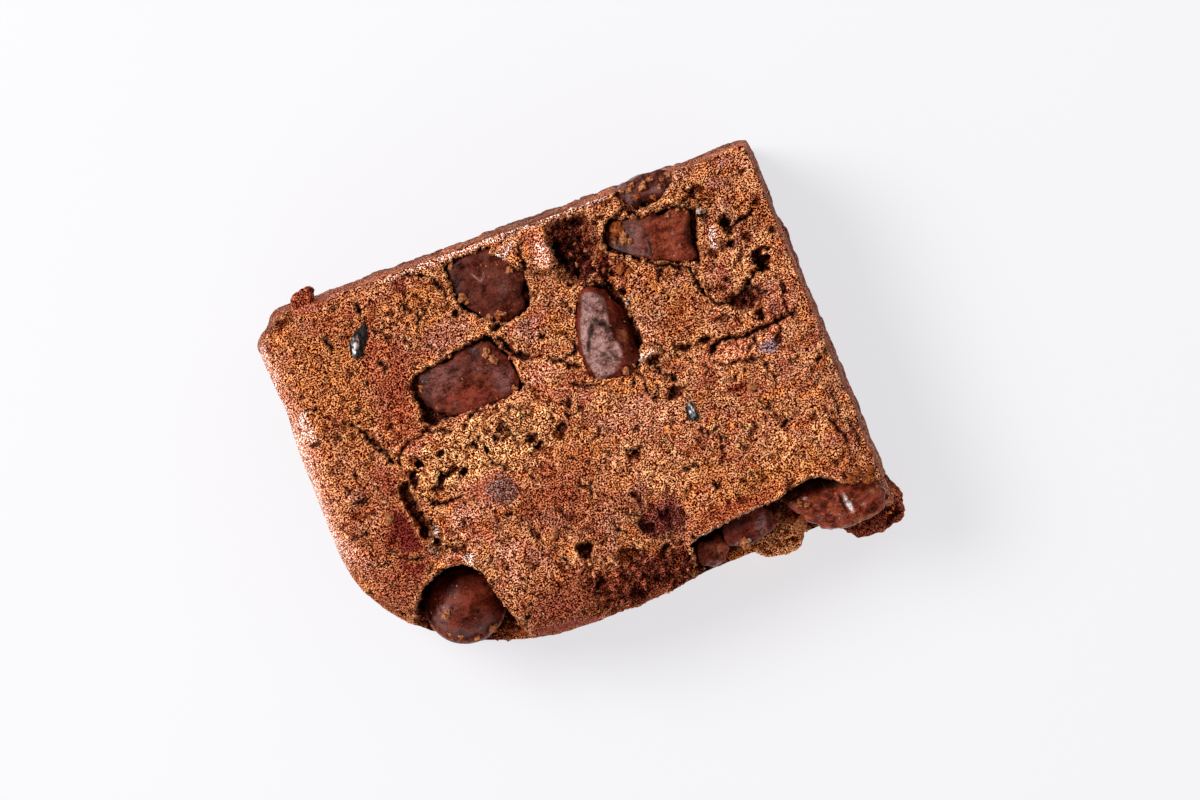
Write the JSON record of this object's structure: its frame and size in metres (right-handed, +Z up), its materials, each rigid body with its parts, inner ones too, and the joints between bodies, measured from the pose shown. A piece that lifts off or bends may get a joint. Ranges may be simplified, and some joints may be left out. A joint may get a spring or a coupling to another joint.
{
  "type": "chocolate chunk brownie",
  "caption": "Corner piece of chocolate chunk brownie: two baked sides with a rolled edge, two cut sides, a cracked crust and chunks of dark chocolate set into it.",
  "frame": {"origin": "middle of the underside, at the centre of the whole piece's box", "axes": "+X along the long side towards the cut short end, +Y towards the cut long side, +Z up through the crust"},
  "size_m": [0.0763, 0.0607, 0.0245],
  "materials": {
    "crumb": "dry baked crust, matte and grainy, golden brown with dark pores",
    "chocolate": "dark chocolate, satin with a faint grey bloom"
  },
  "bodies": {
    "root": {"brownie_body": "crumb", "chunk_north": "chocolate", "chunk_west": "chocolate", "chunk_middle": "chocolate", "chunk_northeast": "chocolate", "chunk_edge": "chocolate", "chunk_south_small": "chocolate", "chunk_south": "chocolate", "chunk_southeast": "chocolate", "drop_southwest": "chocolate"}
  },
  "joints": []
}
